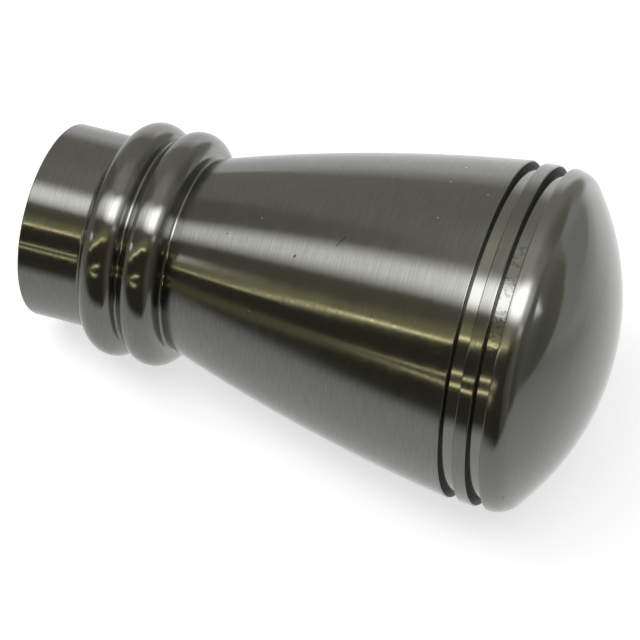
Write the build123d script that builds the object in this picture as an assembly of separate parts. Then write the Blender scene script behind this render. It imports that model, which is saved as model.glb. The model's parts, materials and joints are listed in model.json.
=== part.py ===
# Curtain pole finial, turned from one piece of metal. Lengths are in millimetres.
# Frame: the origin is at the centre of the socket's mouth, +X runs along the finial's axis towards
# its dome, and +Z is up. Each sub-part is a half section with X along the axis and Y as the radius,
# and the whole section is turned about the X axis at the end.
import os

from build123d import *

# Socket for the end of the pole
pole_radius = 14.0
socket_clearance = 0.2
socket_depth = 26.0
socket_lead_in = 0.4

# Collar at the pole end, as far as the first bead
collar_wall = 2.0
collar_length = 11.05
collar_edge_radius = 0.3
collar_root_radius = 0.8

# Two half-round beads that just run into each other
bead_count = 2
bead_pitch = 6.85
bead_section_radius = 3.45
bead_outer_radius = 19.6
bead_root_radius = 0.4

# Flared body, whose outline is one shallow arc
body_start_radius = 15.9
body_end_radius = 27.4
body_length = 50.5
body_bulge = 1.15

# Two square grooves, the flat band between them, and the cap's short straight part
groove_count = 2
groove_width = 2.2
groove_depth = 1.3
groove_edge_radius = 0.2
band_width = 2.15
cap_straight_length = 0.3

# Cap: largest radius, rounded shoulder and shallow dome
cap_radius = 27.65
shoulder_radius = 4.4
dome_height = 12.45

# Values worked out from the dimensions above
socket_radius = pole_radius + socket_clearance
collar_radius = socket_radius + collar_wall
bead_ring_radius = bead_outer_radius - bead_section_radius
bead_centres = [collar_length + bead_section_radius + i * bead_pitch for i in range(bead_count)]
last_bead_centre = bead_centres[-1]
body_start = last_bead_centre + bead_section_radius
body_end = body_start + body_length
cap_start = body_end + groove_count * groove_width + (groove_count - 1) * band_width
shoulder_start = cap_start + cap_straight_length
overall_length = shoulder_start + dome_height

# The dome is an arc about a point on the axis. The shoulder is a smaller arc that meets the dome and
# the cap's straight part without a corner.
shoulder_ring_radius = cap_radius - shoulder_radius
dome_radius = (dome_height**2 + shoulder_ring_radius**2 - shoulder_radius**2) / (
    2 * (dome_height - shoulder_radius)
)
dome_centre = overall_length - dome_radius


def block(start, end, radius):
    """Half section of a plain cylinder between two places on the axis."""
    return Pos(start, 0) * Rectangle(end - start, radius, align=(Align.MIN, Align.MIN))


def collar():
    """The collar, carried on inside the beads as far as the middle of the last one."""
    return block(0, last_bead_centre, collar_radius)


def beads():
    """The half-round beads, side by side after the collar."""
    return [Pos(centre, bead_ring_radius) * Circle(bead_section_radius) for centre in bead_centres]


def body():
    """The flared body, from under the last bead to the first groove, all below one large arc."""
    flare = ThreePointArc(
        (body_start, body_start_radius),
        ((body_start + body_end) / 2, (body_start_radius + body_end_radius) / 2 + body_bulge),
        (body_end, body_end_radius),
    )
    below_flare = Pos(flare.arc_center) * Circle(flare.radius)
    return block(last_bead_centre, body_end, body_end_radius) & below_flare


def head():
    """The band and the cap as one blank, with the shoulder and the dome, before grooving."""
    join_direction = Vector(shoulder_start - dome_centre, shoulder_ring_radius).normalized()
    join = Vector(dome_centre, 0) + join_direction * dome_radius
    side = Line((body_end, body_end_radius), (shoulder_start, cap_radius))
    shoulder = TangentArc((shoulder_start, cap_radius), join, tangent=(1, 0))
    dome = CenterArc((dome_centre, 0), dome_radius, 0, join_direction.get_angle(Vector(1, 0)))
    foot = Polyline((overall_length, 0), (body_end, 0), (body_end, body_end_radius))
    return make_face([side, shoulder, dome, foot])


def grooves():
    """The square grooves, one each side of the band, as the section that is cut away."""
    pitch = groove_width + band_width
    floor = body_end_radius - groove_depth
    cut = Rectangle(groove_width, 2 * groove_depth, align=(Align.MIN, Align.MIN))
    return [Pos(body_end + i * pitch, floor) * cut for i in range(groove_count)]


def socket():
    """The blind socket, with the small chamfer at its mouth that leads the pole in."""
    mouth_radius = socket_radius + socket_lead_in
    outline = Polyline(
        (0, 0),
        (0, mouth_radius),
        (socket_lead_in, socket_radius),
        (socket_depth, socket_radius),
        (socket_depth, 0),
        close=True,
    )
    return make_face(outline)


def corners(section, places):
    """The section's corners nearest to the given places."""
    found = []
    for place in places:
        found.append(min(section.vertices(), key=lambda v: (Vector(v) - Vector(place)).length))
    return found


def groove_edges():
    """Where the grooves' walls meet the outside of the body, the band and the cap."""
    slope = (cap_radius - body_end_radius) / (shoulder_start - body_end)
    places = [body_end, body_end + groove_width, cap_start - groove_width, cap_start]
    return [(place, body_end_radius + slope * (place - body_end)) for place in places]


def bead_roots():
    """Where neighbouring beads run into each other, and where the last one meets the body."""
    half_pitch = bead_pitch / 2
    valley_radius = bead_ring_radius + (bead_section_radius**2 - half_pitch**2) ** 0.5
    places = [(centre + half_pitch, valley_radius) for centre in bead_centres[:-1]]
    return [*places, (body_start, body_start_radius)]


def half_section():
    """The whole half section, with its outer edges softened and the beads' roots filled."""
    section = collar() + beads() + body() + head() - grooves() - socket()
    section = fillet(corners(section, groove_edges()), groove_edge_radius)
    section = fillet(corners(section, bead_roots()), bead_root_radius)
    section = fillet(corners(section, [(collar_length, collar_radius)]), collar_root_radius)
    return fillet(corners(section, [(0, collar_radius)]), collar_edge_radius)


def finial_body():
    """The finished finial, one solid."""
    return revolve(half_section(), axis=Axis.X)


os.makedirs("parts", exist_ok=True)
finial = finial_body()
finial.label = "finial_body"
export_step(finial, "parts/finial_body.step")
print(f"overall length {overall_length:.2f} mm, largest diameter {2 * cap_radius:.2f} mm")
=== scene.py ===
"""A satin gunmetal curtain pole finial, turned in one piece, lying on a plain white floor."""
import json
import math

import bmesh
import bpy
from mathutils import Matrix, Vector


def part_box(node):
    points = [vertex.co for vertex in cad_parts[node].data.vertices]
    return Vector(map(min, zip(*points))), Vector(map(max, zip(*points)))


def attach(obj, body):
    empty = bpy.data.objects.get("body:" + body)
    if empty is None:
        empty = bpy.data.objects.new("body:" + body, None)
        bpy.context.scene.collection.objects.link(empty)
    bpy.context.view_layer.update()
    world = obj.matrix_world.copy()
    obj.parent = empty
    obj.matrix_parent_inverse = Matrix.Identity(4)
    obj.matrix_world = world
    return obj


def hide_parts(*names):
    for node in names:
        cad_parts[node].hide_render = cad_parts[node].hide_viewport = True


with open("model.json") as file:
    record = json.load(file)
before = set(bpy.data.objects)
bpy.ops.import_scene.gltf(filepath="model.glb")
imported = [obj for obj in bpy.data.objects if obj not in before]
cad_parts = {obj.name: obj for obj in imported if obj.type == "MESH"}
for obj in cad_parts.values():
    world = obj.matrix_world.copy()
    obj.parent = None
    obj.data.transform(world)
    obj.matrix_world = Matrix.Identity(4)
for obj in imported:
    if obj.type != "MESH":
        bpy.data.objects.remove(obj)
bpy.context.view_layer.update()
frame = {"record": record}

bl_info = {
    "name": "Curtain Pole Finial",
    "version": (1, 0, 0),
    "blender": (4, 5, 0),
    "location": "View3D > Sidebar > Finial",
    "description": "Turns a curtain pole finial and sets it on a plain studio floor",
    "category": "Add Mesh",
}

NODE = "finial_body"
MM = 0.001
NODE_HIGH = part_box(NODE)[1]
SOCKET = frame["record"]["mounts"][0]["dims"]
SOCKET_LEAD_IN = 0.4
ALONG = "along"
UV_MAP = "turning"
ZONES = ("satin", "dome", "groove", "wall", "socket")

# Steps of the outline's parts, and limits for telling the mesh's faces and corners apart
SOCKET_RINGS = 6
EDGE_STEPS = 5
BEAD_STEPS = 40
FLARE_STEPS = 48
SHOULDER_STEPS = 12
DOME_STEPS = 40
HAIR = 0.02 * MM
AXIS_RADIUS = 0.05 * MM
SHARP_ANGLE = math.radians(35)
WALL_FACING = 0.7
FLAT_FACE_WEIGHT = 100

# Finish. Four numbers are a ramp: from low, from high, to low, to high. The names here that end in
# LINES or DEPTH are multiples of the satin's count or height of brushing lines.
GRAIN_INPUTS = (
    ("Lines per metre", "Float", 6000.0),
    ("Arcs per turn", "Float", 5.0),
    ("Broad share", "Float", 0.08),
)
MARK_INPUTS = (("From", "Vector", None), ("To", "Vector", None), ("Half width", "Float", None))
FINE_DETAIL = 2.0
BROAD_DETAIL = 1.0
BREAKS_SCALE = 260.0
BREAKS_DETAIL = 3.0
SATIN_ARCS = 6.0
SATIN_WEAR = (0.42, 0.70, 0.0, 0.6)
SATIN_UNEVEN = (0.3, 0.7, 0.85, 1.15)
SATIN_SHARPER = (0.35, 0.65, 1.15, 0.85)
DOME_ARCS = 3.0
DOME_WEAR = (0.45, 0.8, 0.0, 0.3)
DOME_UNEVEN = (0.3, 0.7, 0.9, 1.1)
DOME_LINE_STRENGTH = 0.35
GROOVE_ARCS = 10.0
GROOVE_LINES = 0.5
PIT_SCALE = 1500.0
PIT_DETAIL = 2.0
PIT_PATCH = (0.90, 0.97, 0.05, 0.9)
PIT_SOIL = (0.52, 0.68, 0.0, 0.45)
PIT_DEPTH = 10.0
WALL_ROUGHNESS = 0.5
# Share of plating at the grooves' rims, where the walls' painted shade ends.
WALL_UNSHADED = 0.3
SOCKET_ROUGHNESS = 0.3
SOCKET_ARCS = 0.3
SOCKET_LINES = 0.4
SOCKET_LINE_DEPTH = 3.0
SOCKET_DULL = (0.35, 0.7, 0.0, 0.5)
MARK_EDGE = (0.6, 1.2, 1.0, 0.0)

# Tints of what the metal shows
ROOM = (1.0, 1.0, 0.86)
BROWN = (1.0, 0.97, 0.70)
OLIVE = (1.0, 0.94, 0.50)
AMBER = (1.0, 0.92, 0.54)
WHITE = (1.0, 1.0, 1.0)
BLUISH = (0.88, 0.97, 1.0)

# Cards that curve round the axis: name, tint, glow at the pole's end and at the dome's, how much of
# the card fades at its pole end, dome end, lower edge and upper edge, and stations. A station is
# metres along from the finial's middle, and the degrees of both edges above the near horizon.
CARDS = (
    ("room", ROOM, (0.40, 0.36), (0.0, 0.0, 0.02, 0.03), ((-1.3, 40, 192), (1.3, 40, 192))),
    (
        "dark_front", BROWN, (0.06, 0.06), (0.0, 0.12, 0.12, 0.04),
        (
            (-1.3, -14, 54), (-0.8, -22, 54), (-0.62, -26, 54), (-0.45, -29, 54), (-0.17, -31, 54),
            (0.1, -34.5, 54), (0.3, -40, 54), (0.45, -50, 54), (0.85, -60, 54),
        ),
    ),
    ("bright_side", BROWN, (0.15, 0.26), (0.2, 0.0, 0.1, 0.1), ((0.6, -70, 50), (1.3, -70, 50))),
    (
        "olive_glow", BROWN, (0.13, 0.30), (0.0, 0.15, 0.25, 0.3),
        ((-1.3, 30, 62), (-0.5, 31, 62), (0.0, 35, 62), (1.3, 35, 62)),
    ),
    (
        "olive_haze", OLIVE, (0.10, 0.26), (0.0, 0.2, 0.35, 0.4),
        ((-1.3, -18, 4), (-0.75, -14, 6), (-0.45, -5, 8)),
    ),
    (
        "line_haze", OLIVE, (0.32, 0.48), (0.0, 0.2, 0.1, 0.4),
        (
            (-1.15, 17, 37), (-0.77, 19, 38), (-0.5, 25, 40), (-0.17, 31, 45), (0.0, 35, 48),
            (0.5, 36, 48),
        ),
    ),
    (
        "upper_line", AMBER, (1.8, 4.8), (0.2, 0.1, 0.15, 0.15),
        (
            (-1.15, 17, 18.6), (-0.77, 18.2, 20), (-0.62, 23.4, 25.2), (-0.48, 27.8, 29.6),
            (-0.33, 28.2, 30),
        ),
    ),
    (
        "upper_line_end", AMBER, (4.6, 2.0), (0.04, 0.2, 0.15, 0.15),
        ((-0.35, 28.1, 29.9), (-0.17, 32, 33.9), (0.0, 35, 37), (0.38, 34.6, 36.8)),
    ),
    (
        "middle_line", AMBER, (1.0, 5.0), (0.3, 0.35, 0.15, 0.15),
        ((-0.52, 2.8, 4.4), (-0.4, 4.5, 6.1), (-0.28, 6.7, 8.4), (-0.1, 9.7, 11.4), (0.2, 10.1, 11.8)),
    ),
    (
        "lower_line", AMBER, (1.0, 5.0), (0.3, 0.35, 0.15, 0.15),
        ((-0.52, 2.2, 3.8), (-0.4, 1.2, 2.8), (-0.25, 0.5, 2.2), (0.1, 1.1, 2.8)),
    ),
    ("far_lamp", WHITE, (3.6, 3.6), (0.0, 0.12, 0.35, 0.15), ((-1.3, 26, 38), (-1.0, 25, 37))),
    ("side_lamp", WHITE, (1.3, 1.4), (0.3, 0.3, 0.3, 0.3), ((0.55, 44, 53), (1.15, 45, 55))),
    (
        "light_ceiling", ROOM, (0.60, 0.58), (0.2, 0.25, 0.1, 0.5),
        ((-0.36, 78, 118), (0.2, 78, 126), (0.5, 78, 118)),
    ),
    (
        "dark_ceiling", ROOM, (0.21, 0.29), (0.0, 0.1, 0.0, 0.03),
        ((-1.3, 80, 165), (-0.95, 80, 160), (-0.85, 80, 132), (-0.62, 80, 114), (-0.35, 80, 91)),
    ),
    ("dark_wall", ROOM, (0.24, 0.22), (0.3, 0.3, 0.25, 0.15), ((0.2, 106, 174), (1.1, 124, 174))),
    (
        "low_wall", WHITE, (0.44, 0.56), (0.2, 0.0, 0.25, 0.0),
        ((0.3, 164, 192), (0.86, 165, 192), (1.02, 177, 192), (1.3, 182, 192)),
    ),
    (
        "softbox_left", WHITE, (1.25, 2.1), (0.0, 0.0, 0.38, 0.38),
        ((-1.3, 55, 93), (-0.95, 55, 91), (-0.6, 53, 87.5), (-0.2, 52.5, 82), (0.0, 52, 81)),
    ),
    (
        "softbox", WHITE, (4.6, 5.0), (0.42, 0.3, 0.3, 0.3),
        ((-0.32, 52.5, 77), (0.0, 50.5, 77), (0.28, 50.5, 82), (0.5, 51, 87), (0.70, 52, 90)),
    ),
    (
        "softbox_right", WHITE, (1.25, 0.65), (0.0, 0.2, 0.36, 0.36),
        ((0.58, 52, 91), (0.9, 55, 97), (1.3, 58, 104)),
    ),
    (
        "back_wall", WHITE, (0.84, 1.06), (0.12, 0.1, 0.3, 0.0),
        ((-0.42, 155, 208), (-0.17, 148, 208), (0.12, 150, 208)),
    ),
    (
        "back_wall_far", WHITE, (0.72, 0.84), (0.0, 0.04, 0.03, 0.0),
        ((-1.3, 171, 208), (-0.62, 168.5, 208), (-0.48, 164.5, 208), (-0.33, 161, 208)),
    ),
    (
        "wall_foot", ROOM, (0.12, 0.25), (0.0, 0.3, 0.2, 0.2),
        ((-1.3, 167, 172), (-0.62, 165.3, 169), (-0.48, 162, 165), (-0.33, 159, 161)),
    ),
)
CARD_GAP = 0.01
CARD_GRID = 24

# Flat cards square to the axis: name, tint, metres along from the middle, both sides, the lower
# edge's height at each side, the top, and the glow at each side
END_CARDS = (
    ("far_end", ROOM, 4.0, (-4.6, 4.6), (-0.5, -0.5), 1.2, (0.50, 0.56)),
    ("dome_end", ROOM, 1.3, (-1.5, 1.5), (-1.02, 0.32), 1.2, (0.0, 0.38)),
    ("pole_end", ROOM, -1.3, (-1.5, 1.5), (-0.3, -0.3), 1.2, (0.3, 0.3)),
    ("glint", BLUISH, 1.29, (0.17, 0.25), (0.08, 0.05), 0.18, (3.2, 3.2)),
)
END_SOFTNESS = (0.0, 0.0, 0.02, 0.0)

# The far floor's glow, by the distance in metres from a line beside the finial, from the lamp's spot
# and past a slanting line behind
FAR_FLOOR_DEPTH = 0.5
FAR_FLOOR_REACH = 30.0
FAR_FLOOR_LINE = 0.4
FAR_FLOOR_NEAR = (0.5, 1.3, 0.72, 0.54)
FAR_FLOOR_FAR = (1.3, 2.3, 0.0, 0.18)
FAR_FLOOR_SPOT = (0.3, 1.0, -FAR_FLOOR_DEPTH)
FAR_FLOOR_LIT = (0.2, 1.05, 0.32, 0.0)
FAR_FLOOR_BEHIND = (0.5, 0.87, 0.0)
FAR_FLOOR_PALER = (1.15, 1.65, 0.0, 0.19)
FLOOR_SIDES = 96

# Lamps: name, place, width, height and power
LAMPS = (("softbox_lamp", (-0.1, -0.28, 0.66), 0.9, 0.3, 2.2),)
FILM_WIDTH = 36.0
NEAR_CLIP = 0.01

# Small marks: kind, start and end as millimetres along and degrees up from the front, half width
MARKS = (
    ("soil_and_painted_shade", (46.9, 52.8), (47.0, 53.2), 0.17),
    ("scratch", (53.1, 60.0), (54.1, 64.0), 0.09),
    ("soil_and_painted_shade", (34.5, 57.0), (34.6, 57.1), 0.10),
    ("soil_and_painted_shade", (85.0, -23.4), (85.3, -22.4), 0.13),
    ("dust", (39.4, 67.0), (39.5, 67.0), 0.10),
    ("dust", (66.3, 95.0), (66.4, 95.0), 0.10),
    ("dust", (67.2, 106.0), (67.3, 106.0), 0.10),
    ("dust", (67.0, 77.0), (67.1, 77.0), 0.09),
    ("dust", (72.9, 90.0), (73.0, 90.0), 0.11),
    ("dust", (73.1, 33.0), (73.2, 33.0), 0.09),
    ("dust", (41.4, 26.0), (41.5, 26.0), 0.09),
)


def length(name, description, default):
    """A size property in metres, given in millimetres."""
    return bpy.props.FloatProperty(
        name=name, description=description, default=default * MM, min=0.0, unit="LENGTH", precision=5
    )


def colour(name, description, default):
    """A linear colour property."""
    return bpy.props.FloatVectorProperty(
        name=name, description=description, default=default, subtype="COLOR", size=3, min=0.0, max=1.0
    )


def share(name, description, default, most=1.0):
    """A plain number property."""
    return bpy.props.FloatProperty(name=name, description=description, default=default, min=0.0, max=most)


def span(name, description, default):
    """Two lengths in metres, given in millimetres, between which a finish changes."""
    return bpy.props.FloatVectorProperty(
        name=name,
        description=description,
        default=[n * MM for n in default],
        size=2,
        min=0.0,
        unit="LENGTH",
        precision=5,
    )


def angle(name, description, default):
    """An angle property, given in degrees."""
    return bpy.props.FloatProperty(
        name=name, description=description, default=math.radians(default), subtype="ANGLE"
    )


class FinialSizes(bpy.types.PropertyGroup):
    """Sizes of the finial's half section"""

    socket_radius: length("Socket radius", "Radius of the blind socket", SOCKET["r_mm"])
    socket_lead_in: length("Socket lead-in", "Chamfer at the mouth of the socket", SOCKET_LEAD_IN)
    socket_depth: length(
        "Socket depth", "From the mouth to the flat bottom", SOCKET["length_mm"] + SOCKET_LEAD_IN
    )
    collar_radius: length("Collar radius", "Outside radius of the plain collar", 16.2)
    collar_length: length("Collar length", "Plain collar as far as the first bead", 11.05)
    collar_edge_radius: length("Collar edge", "Rounding of the collar's outer edge", 0.3)
    collar_root_radius: length("Collar root", "Fillet between the collar and the first bead", 0.8)
    bead_pitch: length("Bead pitch", "From the middle of one bead to the next", 6.85)
    bead_section_radius: length("Bead section", "Radius of the half-round bead's section", 3.45)
    bead_outer_radius: length("Bead radius", "Largest radius of the beads", 19.6)
    bead_root_radius: length("Bead root", "Fillet between the beads and beside the body", 0.4)
    body_start_radius: length("Body start", "Radius of the flared body beside the beads", 15.9)
    body_end_radius: length("Body end", "Radius of the flared body at the first groove", 27.4)
    body_length: length("Body length", "From the last bead to the first groove", 50.5)
    body_bulge: length("Body bulge", "How far the outline swells from a straight taper", 1.15)
    groove_width: length("Groove width", "Width of the square grooves", 2.2)
    groove_depth: length("Groove depth", "Depth of the square grooves", 1.3)
    groove_edge_radius: length("Groove edge", "Rounding of the grooves' outer edges", 0.2)
    band_width: length("Band width", "Flat band between the grooves", 2.15)
    cap_straight_length: length("Cap side", "Straight side of the cap before its shoulder", 0.3)
    cap_radius: length("Cap radius", "Largest radius of the finial", NODE_HIGH[2] / MM)
    shoulder_radius: length("Shoulder radius", "Rounding between the cap's side and dome", 4.4)
    overall_length: length("Length", "From the socket's mouth to the top of the dome", NODE_HIGH[0] / MM)
    turns: bpy.props.IntProperty(
        name="Facets", description="Steps once round the finial", default=240, min=48, max=512
    )


class FinialFinish(bpy.types.PropertyGroup):
    """Colours and blur of the plating, the grooves and the small marks"""

    plating: colour("Plating", "Gunmetal plating, as it reflects head on", (0.222, 0.222, 0.205))
    # The lighter plating tone: brushing wear on the satin and the dome, and painted light on the upper
    # side of the dome's shoulder.
    plating_wear_and_painted_light: colour("Plating lights", "Where brushing has thinned the plating", (0.29, 0.29, 0.275))
    groove_plating: colour("Groove plating", "Plating on the grooves' floors", (0.28, 0.28, 0.258))
    # Dark soil in the pits and the small marks, also mixed into the painted shade on the grooves' walls.
    soil_and_painted_shade: colour("Groove soil", "Dark soil left in the grooves", (0.035, 0.033, 0.030))
    # Painted shade: the near-black colour of the grooves' walls.
    wall_painted_shade: colour("Wall soil", "Soil on the grooves' walls", (0.002, 0.002, 0.002))
    bare_alloy: colour("Bare alloy", "Unplated metal inside the socket", (0.46, 0.45, 0.43))
    scratch: colour("Scratch", "The short scratch on the body", (0.10, 0.10, 0.095))
    dust: colour("Dust", "Light specks on the body", (0.80, 0.80, 0.78))
    satin_roughness: share("Satin roughness", "Blur along the axis, across the brushing", 0.155)
    satin_anisotropy: share("Satin anisotropy", "How much longer the blur is along the axis", 0.88)
    dome_roughness: share("Dome roughness", "Blur on the finely brushed dome", 0.07)
    dome_anisotropy: share("Dome anisotropy", "How much longer the dome's blur is outwards", 0.1)
    shoulder_roughness: share("Shoulder roughness", "Blur on the cap's shoulder", 0.17)
    groove_roughness: share("Groove roughness", "Blur on the grooves' floors", 0.11)
    polish_change: span("Polish change", "Radii between which the dome's polish changes", (24.3, 26.0))
    # Painted light: heights on the shoulder between which its upper side is painted lighter.
    painted_light_heights: span("Thin plating", "Heights on the shoulder between which the plating thins", (6, 20))
    # Painted shade: radii between which the walls' painted shade gives way to plating.
    wall_shade_fade: span("Wall change", "Radii between which wall soil gives way to plating", (26.4, 27.2))
    pitted_from: span("Pitted from", "Places between which the groove floors turn pitted", (78.0, 79.2))
    pitted_turn: angle("Pitted turn", "Middle of the pitted patch, up from the front", 58.0)
    line_pitch: length("Line pitch", "Distance between brushing lines", 0.16)
    line_depth: length("Line depth", "Height of the brushing lines", 0.0016)


class FinialStudio(bpy.types.PropertyGroup):
    """Camera, floor, soft light and cards"""

    camera_distance: length("Camera distance", "From the lens to the point aimed at", 381.2)
    camera_aim_along: length("Aim along", "Aimed-at point, along the finial", 46.0)
    camera_aim_below: length("Aim below", "Aimed-at point, below the finial's axis", 7.6)
    camera_azimuth: angle("Camera azimuth", "Round from square on, towards the dome", 20.86)
    camera_elevation: angle("Camera elevation", "Above the finial's axis", 43.1)
    camera_lens: bpy.props.FloatProperty(
        name="Lens", description="Focal length on a 36 mm sensor", default=131.5, min=1.0, unit="CAMERA"
    )
    floor_radius: length("Floor radius", "Radius of the round white floor", 500.0)
    floor_white: share("Floor white", "How much light the floor gives back", 0.85)
    floor_glow: share("Floor glow", "What lifts the lit floor to white for the camera", 0.6)
    ambient: share("Ambient", "Soft light from all round", 0.35)
    card_radius: length("Card radius", "From the finial's axis to the cards", 800.0)


def stretch(bm, tip, along, radius):
    """Carries the outline on, straight to a place on the half section, and returns its new end."""
    end = bmesh.ops.extrude_vert_indiv(bm, verts=[tip])["verts"][0]
    end.co = Vector((along, 0.0, radius))
    return end


def heading(centre, place):
    """Angle of a place about an arc's centre, clockwise from the outward radial direction."""
    return math.atan2(place[0] - centre[0], place[1] - centre[1])


def spin(bm, geom, centre, axis, sweep, steps, merge=False):
    """Spins corners and edges about an axis, and returns what stands at the end of the sweep."""
    return bmesh.ops.spin(
        bm, geom=geom, cent=centre, axis=axis, angle=sweep, steps=steps, use_merge=merge
    )["geom_last"]


def swing_to(bm, tip, centre, place, steps):
    """Carries the outline on round an arc from its end to a place at the same distance."""
    sweep = heading(centre, place) - heading(centre, (tip.co.x, tip.co.z))
    sweep = (sweep + math.pi) % math.tau - math.pi
    last = spin(bm, [tip], (centre[0], 0.0, centre[1]), (0.0, 1.0, 0.0), sweep, steps)
    end = next(v for v in last if isinstance(v, bmesh.types.BMVert))
    end.co = Vector((place[0], 0.0, place[1]))
    return end


class Stations:
    """Places along the axis and arc centres, worked out from the sizes."""

    def __init__(self, s):
        self.bead_ring_radius = s.bead_outer_radius - s.bead_section_radius
        first_bead = s.collar_length + s.bead_section_radius
        self.bead_centres = [first_bead, first_bead + s.bead_pitch]
        self.body_start = self.bead_centres[-1] + s.bead_section_radius
        self.body_end = self.body_start + s.body_length
        self.band_start = self.body_end + s.groove_width
        self.band_end = self.band_start + s.band_width
        self.cap_start = self.band_end + s.groove_width
        self.shoulder_start = self.cap_start + s.cap_straight_length
        self.floor_radius = s.body_end_radius - s.groove_depth
        middle = ((self.body_start + self.body_end) / 2, (s.body_start_radius + s.body_end_radius) / 2)
        self.flare = circle_through(
            (self.body_start, s.body_start_radius),
            (middle[0], middle[1] + s.body_bulge),
            (self.body_end, s.body_end_radius),
        )
        self.flare_radius = math.dist(self.flare, (self.body_end, s.body_end_radius))

    def head_radius(self, s, along):
        """Radius of the band and the cap's side, which carry on one slight taper."""
        slope = (s.cap_radius - s.body_end_radius) / (self.shoulder_start - self.body_end)
        return s.body_end_radius + slope * (along - self.body_end)

    def surface_place(self, s, along, turn):
        """A place on the flared body or the cap's shoulder, turned up from the front."""
        if along > self.shoulder_start:
            centre, arc_radius = (self.shoulder_start, s.cap_radius - s.shoulder_radius), s.shoulder_radius
        else:
            centre, arc_radius = self.flare, self.flare_radius
        radius = centre[1] + math.sqrt(arc_radius**2 - (along - centre[0]) ** 2)
        return Vector((along, -radius * math.cos(turn), radius * math.sin(turn)))


def circle_through(a, b, c):
    """Centre of the circle through three places on the half section."""
    d = 2 * (a[0] * (b[1] - c[1]) + b[0] * (c[1] - a[1]) + c[0] * (a[1] - b[1]))
    squares = [p[0] ** 2 + p[1] ** 2 for p in (a, b, c)]
    x = squares[0] * (b[1] - c[1]) + squares[1] * (c[1] - a[1]) + squares[2] * (a[1] - b[1])
    y = squares[0] * (c[0] - b[0]) + squares[1] * (a[0] - c[0]) + squares[2] * (b[0] - a[0])
    return x / d, y / d


def circles_meet(a, a_radius, b, b_radius):
    """Where two circles on the half section cross, on the side away from the axis."""
    gap = math.dist(a, b)
    along = (a_radius**2 - b_radius**2 + gap**2) / (2 * gap)
    aside = math.sqrt(a_radius**2 - along**2)
    unit = ((b[0] - a[0]) / gap, (b[1] - a[1]) / gap)
    foot = (a[0] + unit[0] * along, a[1] + unit[1] * along)
    sides = [(foot[0] - n * unit[1] * aside, foot[1] + n * unit[0] * aside) for n in (1, -1)]
    return max(sides, key=lambda place: place[1])


def toward(centre, place, distance):
    """The place at a distance from a centre, in the direction of another place."""
    scale = distance / math.dist(centre, place)
    return centre[0] + (place[0] - centre[0]) * scale, centre[1] + (place[1] - centre[1]) * scale


def outline_socket(bm, s):
    """The socket's bottom, wall and lead-in, and the collar's end face."""
    tip = bm.verts.new((s.socket_depth, 0.0, 0.0))
    for step in range(1, SOCKET_RINGS + 1):
        tip = stretch(bm, tip, s.socket_depth, s.socket_radius * step / SOCKET_RINGS)
    tip = stretch(bm, tip, s.socket_lead_in, s.socket_radius)
    tip = stretch(bm, tip, 0.0, s.socket_radius + s.socket_lead_in)
    return stretch(bm, tip, 0.0, s.collar_radius - s.collar_edge_radius)


def outline_collar(bm, tip, s, at):
    """The collar's rounded edge and side, and the fillet at the foot of the first bead."""
    edge = (s.collar_edge_radius, s.collar_radius - s.collar_edge_radius)
    tip = swing_to(bm, tip, edge, (s.collar_edge_radius, s.collar_radius), EDGE_STEPS)
    bead = (at.bead_centres[0], at.bead_ring_radius)
    root_radius = s.collar_radius + s.collar_root_radius
    reach = s.bead_section_radius + s.collar_root_radius
    root = (bead[0] - math.sqrt(reach**2 - (root_radius - bead[1]) ** 2), root_radius)
    tip = stretch(bm, tip, root[0], s.collar_radius)
    return swing_to(bm, tip, root, toward(bead, root, s.bead_section_radius), EDGE_STEPS)


def outline_beads(bm, tip, s, at):
    """Both beads, the valley between them and the fillet at the foot of the body."""
    first, last = [(centre, at.bead_ring_radius) for centre in at.bead_centres]
    reach = s.bead_section_radius + s.bead_root_radius
    valley = circles_meet(first, reach, last, reach)
    tip = swing_to(bm, tip, first, toward(first, valley, s.bead_section_radius), BEAD_STEPS)
    tip = swing_to(bm, tip, valley, toward(last, valley, s.bead_section_radius), EDGE_STEPS)
    root = circles_meet(last, reach, at.flare, at.flare_radius + s.bead_root_radius)
    tip = swing_to(bm, tip, last, toward(last, root, s.bead_section_radius), BEAD_STEPS)
    return swing_to(bm, tip, root, toward(at.flare, root, at.flare_radius), EDGE_STEPS)


def outline_groove(bm, tip, s, at, start, end):
    """One square groove with rounded outer edges."""
    edge = s.groove_edge_radius
    lip, far_lip = [at.head_radius(s, place) - edge for place in (start, end)]
    tip = swing_to(bm, tip, (start - edge, lip), (start, lip), EDGE_STEPS)
    tip = stretch(bm, tip, start, at.floor_radius)
    tip = stretch(bm, tip, end, at.floor_radius)
    tip = stretch(bm, tip, end, far_lip)
    return swing_to(bm, tip, (end + edge, far_lip), (end + edge, far_lip + edge), EDGE_STEPS)


def outline_cap(bm, tip, s, at):
    """The cap's side, its rounded shoulder and its dome, down to the axis."""
    tip = stretch(bm, tip, at.shoulder_start, s.cap_radius)
    ring = s.cap_radius - s.shoulder_radius
    height = s.overall_length - at.shoulder_start
    dome_radius = (height**2 + ring**2 - s.shoulder_radius**2) / (2 * (height - s.shoulder_radius))
    dome = (s.overall_length - dome_radius, 0.0)
    shoulder = (at.shoulder_start, ring)
    tip = swing_to(bm, tip, shoulder, toward(dome, shoulder, dome_radius), SHOULDER_STEPS)
    return swing_to(bm, tip, dome, (s.overall_length, 0.0), DOME_STEPS)


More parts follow.
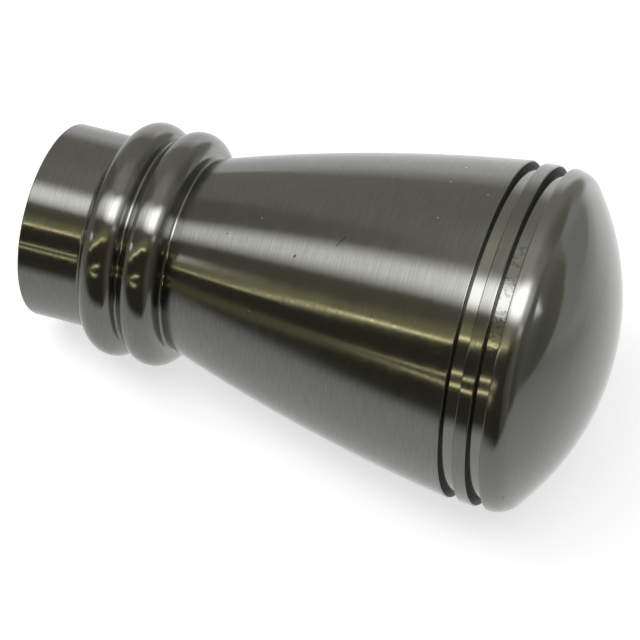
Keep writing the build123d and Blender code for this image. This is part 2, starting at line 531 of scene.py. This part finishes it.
def outline_finial(bm, s, at):
    """The finial's whole half section, as one chain of edges."""
    edge = s.groove_edge_radius
    tip = outline_socket(bm, s)
    tip = outline_collar(bm, tip, s, at)
    tip = outline_beads(bm, tip, s, at)
    body_edge = toward(at.flare, (at.body_end - edge, s.body_end_radius), at.flare_radius)
    tip = swing_to(bm, tip, at.flare, body_edge, FLARE_STEPS)
    tip = outline_groove(bm, tip, s, at, at.body_end, at.band_start)
    tip = stretch(bm, tip, at.band_end - edge, at.head_radius(s, at.band_end))
    tip = outline_groove(bm, tip, s, at, at.band_end, at.cap_start)
    return outline_cap(bm, tip, s, at)


def measure_along(bm, first):
    """Stores each outline corner's distance from the outline's start, for the brushing to follow."""
    along = bm.verts.layers.float[ALONG]
    here, last, travelled = first, None, 0.0
    while here is not None:
        here[along] = travelled
        following = [e.other_vert(here) for e in here.link_edges if e.other_vert(here) is not last]
        last, here = here, following[0] if following else None
        if here is not None:
            travelled += (here.co - last.co).length
    return travelled


def lay_out_uv(bm, whole_length):
    """A UV map with U along the outline and V round the axis, which gives the brushing its grain."""
    along = bm.verts.layers.float[ALONG]
    uv = bm.loops.layers.uv.new(UV_MAP)
    for face in bm.faces:
        middle = face.calc_center_median()
        face_turn = math.atan2(middle.z, middle.y)
        for loop in face.loops:
            co = loop.vert.co
            on_axis = math.hypot(co.y, co.z) < AXIS_RADIUS
            turn = face_turn if on_axis else math.atan2(co.z, co.y)
            turn = face_turn + (turn - face_turn + math.pi) % math.tau - math.pi
            loop[uv].uv = (loop.vert[along] / whole_length, turn / math.tau)


def zone_of(face, s, at):
    """Which finish a face takes: satin outside, fine brushed dome, groove or bare socket."""
    middle = face.calc_center_median()
    radius = math.hypot(middle.y, middle.z)
    if middle.x < s.socket_depth + HAIR and radius < s.socket_radius + s.socket_lead_in:
        return ZONES.index("socket")
    if at.body_end - HAIR < middle.x < at.cap_start + HAIR:
        if radius < at.head_radius(s, middle.x) - s.groove_edge_radius:
            return ZONES.index("wall" if abs(face.normal.x) > WALL_FACING else "groove")
    if middle.x > at.cap_start:
        return ZONES.index("dome")
    return ZONES.index("satin")


def turn_finial(s):
    """The finial's mesh, its half section spun once round the X axis."""
    at = Stations(s)
    bm = bmesh.new()
    bm.verts.layers.float.new(ALONG)
    outline_finial(bm, s, at)
    bm.verts.ensure_lookup_table()
    whole_length = measure_along(bm, bm.verts[0])
    spin(bm, bm.verts[:] + bm.edges[:], (0.0, 0.0, 0.0), (1.0, 0.0, 0.0), math.tau, s.turns, merge=True)
    bmesh.ops.remove_doubles(bm, verts=bm.verts[:], dist=HAIR)
    bmesh.ops.recalc_face_normals(bm, faces=bm.faces[:])
    lay_out_uv(bm, whole_length)
    for face in bm.faces:
        face.smooth = True
        face.material_index = zone_of(face, s, at)
    mesh = bpy.data.meshes.new("turned_finial")
    bm.to_mesh(mesh)
    bm.free()
    mesh.set_sharp_from_angle(angle=SHARP_ANGLE)
    return mesh


class Graph:
    """The nodes of one material, group or world, with short ways to add them and to link them."""

    def __init__(self, tree):
        self.nodes = tree.nodes
        self.links = tree.links

    def add(self, kind, **settings):
        """A new shader node with its settings."""
        node = self.nodes.new("ShaderNode" + kind)
        for name, value in settings.items():
            setattr(node, name, value)
        return node

    def feed(self, node, values):
        """Feeds a node's sockets from sockets, plain values or three-number colours, and skips None."""
        for name, value in values.items():
            if isinstance(value, bpy.types.NodeSocket):
                self.links.new(value, node.inputs[name])
            elif value is not None:
                in_colour = node.inputs[name].type == "RGBA"
                node.inputs[name].default_value = (*value, 1.0) if in_colour else value
        return node

    def show(self, shader):
        """Puts a shader on the material's surface."""
        self.feed(self.nodes["Material Output"], {"Surface": shader.outputs[0]})

    def group(self, tree, values):
        """The outputs of a node group that is given its own values."""
        return self.feed(self.add("Group", node_tree=tree), values).outputs

    def math(self, operation, first, second):
        """What a Math node gives."""
        node = self.add("Math", operation=operation)
        return self.feed(node, {0: first, 1: second}).outputs["Value"]

    def vector_node(self, operation, first, second, scale):
        """A Vector Math node fed by sockets or plain vectors."""
        node = self.add("VectorMath", operation=operation)
        return self.feed(node, {0: first, 1: second, "Scale": scale})

    def vector(self, operation, first, second=None, scale=None):
        """The vector that a Vector Math node gives."""
        return self.vector_node(operation, first, second, scale).outputs["Vector"]

    def number(self, operation, first, second=None):
        """The one number that a Vector Math node gives, such as a length."""
        return self.vector_node(operation, first, second, None).outputs["Value"]

    def place(self):
        """The place being shaded, in the piece's own coordinates."""
        return self.add("TexCoord").outputs["Object"]

    def across_axis(self, place):
        """The part of a place that is square to the finial's axis."""
        return self.vector("MULTIPLY", place, (0.0, 1.0, 1.0))

    def split(self, place):
        """A place's coordinates, as sockets named X, Y and Z."""
        return self.feed(self.add("SeparateXYZ"), {"Vector": place}).outputs

    def join(self, **coordinates):
        """A place put together from the coordinates given, with nought for the rest."""
        return self.feed(self.add("CombineXYZ"), coordinates).outputs["Vector"]

    def noise(self, place, scale, detail):
        """A Noise Texture's value at a place."""
        values = {"Vector": place, "Scale": scale, "Detail": detail}
        return self.feed(self.add("TexNoise"), values).outputs["Fac"]

    def raised(self, height, depth, strength=1.0, under=None):
        """The normal of lines or pits of a depth, over another normal if one is given."""
        values = {"Strength": strength, "Distance": depth, "Height": height, "Normal": under}
        return self.feed(self.add("Bump"), values).outputs["Normal"]

    def ramp(self, value, low, high, out_low, out_high):
        """Maps a value from one range to another, held at both ends."""
        values = {"Value": value, "From Min": low, "From Max": high, "To Min": out_low, "To Max": out_high}
        return self.feed(self.add("MapRange", clamp=True), values).outputs["Result"]

    def blend(self, factor, first, second):
        """Mixes two colours by a factor."""
        node = self.add("Mix", data_type="RGBA")
        return self.feed(node, {"Factor": factor, "A": first, "B": second}).outputs["Result"]


def new_group(name, inputs, outputs):
    """A node group with named sockets: its tree, its graph, what it is given and what it gives."""
    tree = bpy.data.node_groups.new(name, "ShaderNodeTree")
    for label, kind, default in inputs:
        socket = tree.interface.new_socket(label, in_out="INPUT", socket_type="NodeSocket" + kind)
        if default is not None:
            socket.default_value = default
    for label in outputs:
        tree.interface.new_socket(label, in_out="OUTPUT", socket_type="NodeSocketFloat")
    given = tree.nodes.new("NodeGroupInput").outputs
    return tree, Graph(tree), given, tree.nodes.new("NodeGroupOutput")


def grain_group():
    """Node group: lines turned round the X axis, fine ones and broad ones, as values about 0.5."""
    tree, graph, given, result = new_group("turned_grain", GRAIN_INPUTS, ("Fine", "Broad", "Breaks"))
    along = graph.add("Attribute", attribute_name=ALONG).outputs["Fac"]
    place = graph.place()
    unit = graph.vector("NORMALIZE", graph.across_axis(place))
    spread = graph.vector("SCALE", unit, scale=given["Arcs per turn"])
    fine = graph.math("MULTIPLY", along, given["Lines per metre"])
    broad = graph.math("MULTIPLY", fine, given["Broad share"])
    for name, source, detail in (("Fine", fine, FINE_DETAIL), ("Broad", broad, BROAD_DETAIL)):
        where = graph.vector("ADD", spread, graph.join(X=source))
        graph.feed(result, {name: graph.noise(where, 1.0, detail)})
    graph.feed(result, {"Breaks": graph.noise(place, BREAKS_SCALE, BREAKS_DETAIL)})
    return tree


def new_metal(name, roughness, anisotropy):
    """A metal material with its blur drawn out along the outline, its graph and its shader."""
    material = bpy.data.materials.new(name)
    material.use_nodes = True
    graph = Graph(material.node_tree)
    tangent = graph.add("Tangent", direction_type="UV_MAP", uv_map=UV_MAP).outputs["Tangent"]
    values = {"Metallic": 1.0, "Roughness": roughness, "Anisotropic": anisotropy, "Tangent": tangent}
    return material, graph, graph.feed(graph.nodes["Principled BSDF"], values)


def place_grain(graph, grain, lines_per_metre, arcs):
    """The grain group's outputs in a material, with its own pitch."""
    return graph.group(grain, {"Lines per metre": lines_per_metre, "Arcs per turn": arcs})


def satin_material(finish, grain):
    """Gunmetal plating brushed round the axis."""
    blur = finish.satin_roughness
    material, graph, shader = new_metal("brushed_gunmetal", blur, finish.satin_anisotropy)
    lines = place_grain(graph, grain, 1.0 / finish.line_pitch, SATIN_ARCS)
    lighter_tone_share = graph.ramp(lines["Fine"], *SATIN_WEAR)
    tone = graph.blend(lighter_tone_share, finish.plating, finish.plating_wear_and_painted_light)
    low, high, less, more = SATIN_UNEVEN
    uneven = graph.ramp(lines["Broad"], low, high, blur * less, blur * more)
    rough = graph.math("MULTIPLY", uneven, graph.ramp(lines["Fine"], *SATIN_SHARPER))
    normal = graph.raised(lines["Fine"], finish.line_depth)
    graph.feed(shader, {"Base Color": tone, "Roughness": rough, "Normal": normal})
    return material


def dome_material(finish, grain):
    """The cap's shoulder and dome, brushed more finely, with painted light: the shoulder's upper side is
    painted in the lighter plating tone.
    """
    material, graph, shader = new_metal("fine_brushed_dome", finish.dome_roughness, finish.dome_anisotropy)
    lines = place_grain(graph, grain, 1.0 / finish.line_pitch, DOME_ARCS)
    flat = graph.across_axis(graph.place())
    outer = graph.ramp(graph.number("LENGTH", flat), *finish.polish_change, 0.0, 1.0)
    # Painted light: the upper side of the outer shoulder, where more light falls, takes the lighter
    # plating tone.
    upper = graph.ramp(graph.split(flat)["Z"], *finish.painted_light_heights, 0.0, 1.0)
    painted_top_light = graph.math("MULTIPLY", outer, upper)
    lighter_tone_share = graph.math("MAXIMUM", graph.ramp(lines["Fine"], *DOME_WEAR), painted_top_light)
    tone = graph.blend(lighter_tone_share, finish.plating, finish.plating_wear_and_painted_light)
    blur = graph.ramp(outer, 0.0, 1.0, finish.dome_roughness, finish.shoulder_roughness)
    rough = graph.math("MULTIPLY", graph.ramp(lines["Broad"], *DOME_UNEVEN), blur)
    normal = graph.raised(lines["Fine"], finish.line_depth, DOME_LINE_STRENGTH)
    graph.feed(shader, {"Base Color": tone, "Roughness": rough, "Normal": normal})
    return material


def groove_material(finish, grain):
    """The grooves' floors, smooth in the first and pitted on one side of the second."""
    material, graph, shader = new_metal("cut_groove", finish.groove_roughness, 0.0)
    lines = place_grain(graph, grain, GROOVE_LINES / finish.line_pitch, GROOVE_ARCS)
    place = graph.place()
    second = graph.ramp(graph.split(place)["X"], *finish.pitted_from, 0.0, 1.0)
    unit = graph.vector("NORMALIZE", graph.across_axis(place))
    aim = (0.0, -math.cos(finish.pitted_turn), math.sin(finish.pitted_turn))
    patch = graph.ramp(graph.number("DOT_PRODUCT", unit, aim), *PIT_PATCH)
    patch = graph.math("MULTIPLY", second, patch)
    pits = graph.noise(place, PIT_SCALE, PIT_DETAIL)
    soiled = graph.math("MULTIPLY", graph.ramp(pits, *PIT_SOIL), patch)
    tone = graph.blend(soiled, finish.groove_plating, finish.soil_and_painted_shade)
    pitted = graph.raised(graph.math("MULTIPLY", pits, patch), finish.line_depth * PIT_DEPTH)
    normal = graph.raised(lines["Fine"], finish.line_depth, under=pitted)
    graph.feed(shader, {"Base Color": tone, "Normal": normal})
    return material


def wall_material(finish, grain):
    """The grooves' walls, with painted shade: near black deep in the grooves, mixed with soil, and lighter
    towards the rim.
    """
    material, graph, shader = new_metal("groove_wall", WALL_ROUGHNESS, 0.0)
    lines = place_grain(graph, grain, GROOVE_LINES / finish.line_pitch, GROOVE_ARCS)
    # Painted shade: the near-black wall colour, broken up with soil, stands in for the shade deep in each
    # groove.
    shade_and_soil = graph.blend(lines["Breaks"], finish.wall_painted_shade, finish.soil_and_painted_shade)
    reach = graph.number("LENGTH", graph.across_axis(graph.place()))
    # The painted shade gives way to plating towards the rim.
    unshaded = graph.ramp(reach, *finish.wall_shade_fade, 0.0, WALL_UNSHADED)
    graph.feed(shader, {"Base Color": graph.blend(unshaded, shade_and_soil, finish.plating)})
    return material


def socket_material(finish, grain):
    """Bare turned alloy inside the socket."""
    material, graph, shader = new_metal("bare_socket", SOCKET_ROUGHNESS, 0.0)
    lines = place_grain(graph, grain, SOCKET_LINES / finish.line_pitch, SOCKET_ARCS)
    dull = graph.ramp(lines["Broad"], *SOCKET_DULL)
    tone = graph.blend(dull, finish.bare_alloy, finish.plating)
    normal = graph.raised(lines["Fine"], finish.line_depth * SOCKET_LINE_DEPTH)
    graph.feed(shader, {"Base Color": tone, "Normal": normal})
    return material


def mark_group():
    """Node group: one over a short mark between two places on the surface, and nought elsewhere."""
    tree, graph, given, result = new_group("short_mark", MARK_INPUTS, ("Mask",))
    offset = graph.vector("SUBTRACT", graph.place(), given["From"])
    run = graph.vector("SUBTRACT", given["To"], given["From"])
    reach = graph.number("DOT_PRODUCT", offset, run)
    whole = graph.number("DOT_PRODUCT", run, run)
    reach = graph.ramp(graph.math("DIVIDE", reach, whole), 0.0, 1.0, 0.0, 1.0)
    gap = graph.number("DISTANCE", offset, graph.vector("SCALE", run, scale=reach))
    gap = graph.math("DIVIDE", gap, given["Half width"])
    graph.feed(result, {"Mask": graph.ramp(gap, *MARK_EDGE)})
    return tree


def add_marks(material, mark, s, finish, low, high):
    """Lays the marks that fall on a stretch of the axis over a material's colour."""
    at = Stations(s)
    graph = Graph(material.node_tree)
    shader = graph.nodes["Principled BSDF"]
    tone = shader.inputs["Base Color"].links[0].from_socket
    for kind, start, end, half_width in MARKS:
        if low < start[0] * MM < high:
            values = {"Half width": half_width * MM}
            for name, (along, turn) in (("From", start), ("To", end)):
                values[name] = at.surface_place(s, along * MM, math.radians(turn))
            mask = graph.group(mark, values)["Mask"]
            tone = graph.blend(mask, tone, getattr(finish, kind))
    graph.feed(shader, {"Base Color": tone})


class FINIAL_OT_turn_finial(bpy.types.Operator):
    """Turn the finial in one piece, with its brushed finish, in place of the CAD solid"""

    bl_idname = "finial.turn_finial"
    bl_label = "Turned finial"

    def execute(self, context):
        finish = context.scene.finial_finish
        sizes = context.scene.finial_sizes
        mesh = turn_finial(sizes)
        grain = grain_group()
        mark = mark_group()
        makers = {
            "satin": satin_material,
            "dome": dome_material,
            "groove": groove_material,
            "wall": wall_material,
            "socket": socket_material,
        }
        for zone in ZONES:
            mesh.materials.append(makers[zone](finish, grain))
        body_end = Stations(sizes).body_end
        for zone, low, high in (("satin", 0.0, body_end), ("dome", body_end, sizes.overall_length)):
            add_marks(mesh.materials[ZONES.index(zone)], mark, sizes, finish, low, high)
        finial = bpy.data.objects.new("turned_finial", mesh)
        context.scene.collection.objects.link(finial)
        weigh = finial.modifiers.new("weigh_normals", "WEIGHTED_NORMAL")
        weigh.keep_sharp = True
        weigh.weight = FLAT_FACE_WEIGHT
        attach(finial, "root")
        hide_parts(NODE)
        return {"FINISHED"}


def lying_plane(s):
    """The plane that the first bead and the cap lie on: its tilt, which way is down, and how far."""
    at = Stations(s)
    bead = Vector((at.bead_centres[0], 0.0, -at.bead_ring_radius))
    shoulder = Vector((at.shoulder_start, 0.0, s.shoulder_radius - s.cap_radius))
    gap = shoulder - bead
    tilt = math.atan2(gap.z, gap.x) + math.asin((s.bead_section_radius - s.shoulder_radius) / gap.length)
    down = Vector((math.sin(tilt), 0.0, -math.cos(tilt)))
    return tilt, down, down.dot(bead) + s.bead_section_radius


def stage_object(context, name, bm, material):
    """Puts a finished mesh into the scene as part of the stage."""
    mesh = bpy.data.meshes.new(name)
    bm.to_mesh(mesh)
    bm.free()
    mesh.materials.append(material)
    piece = bpy.data.objects.new(name, mesh)
    context.scene.collection.objects.link(piece)
    return piece


def stage_material(name):
    """A material for the stage and its graph, with no shader in it yet."""
    material = bpy.data.materials.new(name)
    material.use_nodes = True
    graph = Graph(material.node_tree)
    graph.nodes.remove(graph.nodes["Principled BSDF"])
    return material, graph


def seen_by_eye_or_metal(graph):
    """One for camera, glossy and transmission rays, and nought for the rest."""
    rays = graph.add("LightPath").outputs
    either = graph.math("MAXIMUM", rays["Is Camera Ray"], rays["Is Glossy Ray"])
    return graph.math("MAXIMUM", either, rays["Is Transmission Ray"])


def floor_material(studio):
    """White floor that takes the finial's shadow, and that the camera sees lifted to white."""
    material, graph = stage_material("white_floor")
    matt = graph.feed(graph.add("BsdfDiffuse"), {"Color": (studio.floor_white,) * 3})
    strength = graph.math("MULTIPLY", seen_by_eye_or_metal(graph), studio.floor_glow)
    glow = graph.feed(graph.add("Emission"), {"Strength": strength})
    graph.show(graph.feed(graph.add("AddShader"), {0: matt.outputs[0], 1: glow.outputs[0]}))
    return material


def lay_floor(context, s, studio):
    """A round floor under the lying finial."""
    tilt, down, offset = lying_plane(s)
    middle = Vector((s.overall_length / 2, 0.0, 0.0))
    middle += down * (offset - down.dot(middle))
    bm = bmesh.new()
    place = Matrix.Translation(middle) @ Matrix.Rotation(-tilt, 4, "Y")
    bmesh.ops.create_circle(
        bm, cap_ends=True, cap_tris=False, segments=FLOOR_SIDES, radius=studio.floor_radius, matrix=place
    )
    floor = stage_object(context, "white_floor", bm, floor_material(studio))
    floor.visible_glossy = False


def card_material(name, tone, glow, softness):
    """A card's glow, from one end to the other, with edges that fade into what is behind it."""
    material, graph = stage_material(name)
    place = graph.split(graph.add("TexCoord").outputs["UV"])
    cover = 1.0
    for axis, low, high in (("X", *softness[:2]), ("Y", *softness[2:])):
        for start, end in ((0.0, low), (1.0, 1.0 - high)):
            if start != end:
                cover = graph.math("MULTIPLY", graph.ramp(place[axis], start, end, 0.0, 1.0), cover)
    strength = graph.ramp(place["X"], 0.0, 1.0, *glow)
    light = graph.feed(graph.add("Emission"), {"Color": tone, "Strength": strength})
    clear = graph.add("BsdfTransparent")
    shaders = {"Fac": cover, 1: clear.outputs[0], 2: light.outputs[0]}
    graph.show(graph.feed(graph.add("MixShader"), shaders))
    return material


def hide_from_camera(piece):
    """A card is seen in the metal alone, and shades nothing."""
    piece.visible_camera = False
    piece.visible_diffuse = False
    piece.visible_shadow = False
    piece.visible_transmission = False


def between(stations, share_along):
    """Place on a row of stations, by the share of the way from the first to the last."""
    first, last = stations[0][0], stations[-1][0]
    along = first + (last - first) * share_along
    for left, right in zip(stations, stations[1:]):
        if along <= right[0] + HAIR:
            mix = (along - left[0]) / (right[0] - left[0])
            return along, left[1] + (right[1] - left[1]) * mix, left[2] + (right[2] - left[2]) * mix
    return stations[-1]


def new_grid(across, up):
    """A flat grid over the unit square, with a UV map."""
    bm = bmesh.new()
    bm.loops.layers.uv.new(UV_MAP)
    shift = Matrix.Translation((0.5, 0.5, 0.0))
    bmesh.ops.create_grid(bm, x_segments=across, y_segments=up, size=0.5, matrix=shift, calc_uvs=True)
    return bm


def hang_cards(context, s, studio):
    """Curved cards round the finial's axis, between angles above the near horizon."""
    middle = s.overall_length / 2
    for index, (name, tone, glow, softness, stations) in enumerate(CARDS):
        bm = new_grid(CARD_GRID, CARD_GRID)
        radius = studio.card_radius - CARD_GAP * index
        for vert in bm.verts:
            along, low, high = between(stations, vert.co.x)
            turn = math.radians(low + (high - low) * vert.co.y)
            vert.co = Vector((middle + along, -radius * math.cos(turn), radius * math.sin(turn)))
        hide_from_camera(stage_object(context, name, bm, card_material(name, tone, glow, softness)))


def end_cards(context, s):
    """Flat cards that close both ends of the room, with level or slanting lower edges."""
    middle = s.overall_length / 2
    for name, tone, along, sides, feet, top, glow in END_CARDS:
        bm = new_grid(1, 1)
        for vert in bm.verts:
            across = sides[0] + (sides[1] - sides[0]) * vert.co.x
            foot = feet[0] + (feet[1] - feet[0]) * vert.co.x
            vert.co = Vector((middle + along, across, foot + vert.co.y * (top - foot)))
        material = card_material(name, tone, glow, END_SOFTNESS)
        hide_from_camera(stage_object(context, name, bm, material))


def far_floor_material():
    """The white table as the metal shows it: darker away from the finial, with a lit spot behind."""
    material, graph = stage_material("far_floor")
    place = graph.place()
    axes = graph.split(place)
    past_line = graph.math("MINIMUM", graph.math("SUBTRACT", axes["Y"], FAR_FLOOR_LINE), 0.0)
    distance = graph.number("LENGTH", graph.join(X=axes["X"], Y=past_line))
    near = graph.ramp(distance, *FAR_FLOOR_NEAR)
    far = graph.ramp(distance, *FAR_FLOOR_FAR)
    gap = graph.number("LENGTH", graph.vector("SUBTRACT", place, FAR_FLOOR_SPOT))
    level = graph.math("ADD", near, graph.ramp(gap, *FAR_FLOOR_LIT))
    level = graph.math("SUBTRACT", level, far)
    beyond = graph.number("DOT_PRODUCT", place, FAR_FLOOR_BEHIND)
    level = graph.math("ADD", level, graph.ramp(beyond, *FAR_FLOOR_PALER))
    graph.show(graph.feed(graph.add("Emission"), {"Strength": level}))
    return material


def lay_far_floor(context):
    """A wide level sheet that only the metal shows."""
    bm = bmesh.new()
    shift = Matrix.Translation((0.0, 0.0, -FAR_FLOOR_DEPTH))
    bmesh.ops.create_grid(bm, x_segments=1, y_segments=1, size=FAR_FLOOR_REACH, matrix=shift)
    hide_from_camera(stage_object(context, "far_floor", bm, far_floor_material()))


def add_lamp(context, name, place, aim, size, size_y, power):
    """A soft rectangular lamp that looks at a point."""
    lamp = bpy.data.lights.new(name, "AREA")
    lamp.shape = "RECTANGLE"
    lamp.size = size
    lamp.size_y = size_y
    lamp.energy = power
    holder = bpy.data.objects.new(name, lamp)
    holder.location = place
    holder.rotation_euler = (Vector(aim) - Vector(place)).to_track_quat("-Z", "Y").to_euler()
    holder.visible_camera = False
    holder.visible_glossy = False
    context.scene.collection.objects.link(holder)


def light_world(context, studio):
    """White to the camera and in the metal, and a plain soft light for everything else."""
    world = bpy.data.worlds.new("plain_white")
    world.use_nodes = True
    graph = Graph(world.node_tree)
    strength = graph.ramp(seen_by_eye_or_metal(graph), 0.0, 1.0, studio.ambient, 1.0)
    graph.feed(graph.nodes["Background"], {"Color": WHITE, "Strength": strength})
    context.scene.world = world


def set_camera(context, studio):
    """The camera, level from side to side, at the photograph's viewing angle."""
    lens = bpy.data.cameras.new("camera")
    lens.lens = studio.camera_lens
    lens.sensor_width = FILM_WIDTH
    lens.clip_start = NEAR_CLIP
    camera = bpy.data.objects.new("camera", lens)
    aim = Vector((studio.camera_aim_along, 0.0, -studio.camera_aim_below))
    out = Vector(
        (
            math.cos(studio.camera_elevation) * math.sin(studio.camera_azimuth),
            -math.cos(studio.camera_elevation) * math.cos(studio.camera_azimuth),
            math.sin(studio.camera_elevation),
        )
    )
    camera.location = aim + out * studio.camera_distance
    camera.rotation_euler = (-out).to_track_quat("-Z", "Y").to_euler()
    context.scene.collection.objects.link(camera)
    context.scene.camera = camera


class FINIAL_OT_studio(bpy.types.Operator):
    """Set up the camera, the white floor, the cards and the soft lamps"""

    bl_idname = "finial.studio"
    bl_label = "Studio"

    def execute(self, context):
        sizes = context.scene.finial_sizes
        studio = context.scene.finial_studio
        set_camera(context, studio)
        lay_floor(context, sizes, studio)
        hang_cards(context, sizes, studio)
        end_cards(context, sizes)
        lay_far_floor(context)
        light_world(context, studio)
        aim = (sizes.overall_length / 2, 0.0, 0.0)
        for name, place, size, size_y, power in LAMPS:
            add_lamp(context, name, place, aim, size, size_y, power)
        context.scene.view_settings.view_transform = "Standard"
        return {"FINISHED"}


class FINIAL_PT_panel(bpy.types.Panel):
    """Sizes, finish and studio of the finial, with a button for each part of the work"""

    bl_idname = "FINIAL_PT_panel"
    bl_label = "Curtain Pole Finial"
    bl_space_type = "VIEW_3D"
    bl_region_type = "UI"
    bl_category = "Finial"

    def draw(self, context):
        layout = self.layout
        for group_name, operator in (
            ("finial_sizes", FINIAL_OT_turn_finial),
            ("finial_finish", None),
            ("finial_studio", FINIAL_OT_studio),
        ):
            group = getattr(context.scene, group_name)
            column = layout.column(align=True)
            for name in group.__annotations__:
                column.prop(group, name)
            if operator:
                layout.operator(operator.bl_idname)


CLASSES = (
    FinialSizes,
    FinialFinish,
    FinialStudio,
    FINIAL_OT_turn_finial,
    FINIAL_OT_studio,
    FINIAL_PT_panel,
)


def register():
    """Registers the classes and hangs the property groups on the scene."""
    for cls in CLASSES:
        bpy.utils.register_class(cls)
    bpy.types.Scene.finial_sizes = bpy.props.PointerProperty(type=FinialSizes)
    bpy.types.Scene.finial_finish = bpy.props.PointerProperty(type=FinialFinish)
    bpy.types.Scene.finial_studio = bpy.props.PointerProperty(type=FinialStudio)


def unregister():
    """Takes the property groups and the classes away again."""
    del bpy.types.Scene.finial_studio
    del bpy.types.Scene.finial_finish
    del bpy.types.Scene.finial_sizes
    for cls in reversed(CLASSES):
        bpy.utils.unregister_class(cls)


def main():
    register()
    bpy.ops.finial.studio()
    bpy.ops.finial.turn_finial()


if __name__ == "__main__":
    main()
